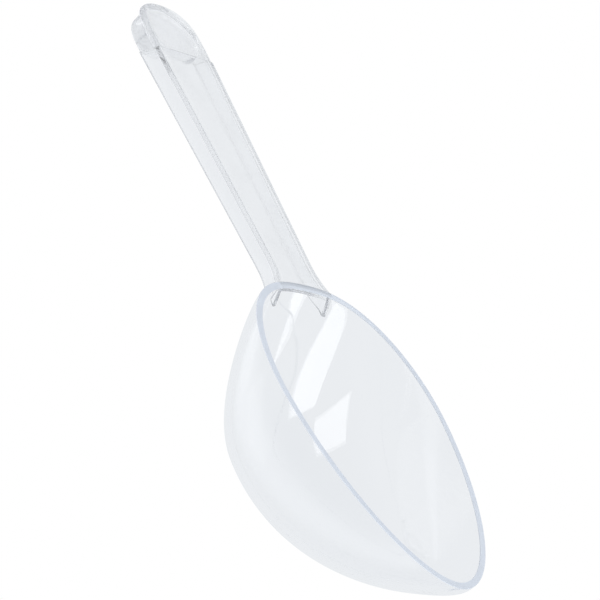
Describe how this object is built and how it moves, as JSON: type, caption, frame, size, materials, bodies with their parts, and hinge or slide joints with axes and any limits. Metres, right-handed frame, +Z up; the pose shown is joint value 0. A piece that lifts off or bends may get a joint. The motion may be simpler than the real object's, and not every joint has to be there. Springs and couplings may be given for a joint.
{
  "type": "ice scoop",
  "caption": "Small clear moulded scoop: a deep leaf-shaped bowl on a straight channel-section handle with a solid round end.",
  "frame": {"origin": "centre of the bounding box in X and Y, level with the lowest point of the bowl", "axes": "+X along the scoop towards the bowl's front lip, +Z up out of the bowl's mouth, +Y to the left when looking along +X"},
  "size_m": [0.1656, 0.057, 0.0325],
  "materials": {
    "bowl": "clear polished polystyrene",
    "handle": "clear polished polystyrene",
    "handle_end": "clear polished polystyrene"
  },
  "bodies": {
    "root": {"bowl": "bowl", "handle": "handle", "handle_end": "handle_end"}
  },
  "joints": []
}
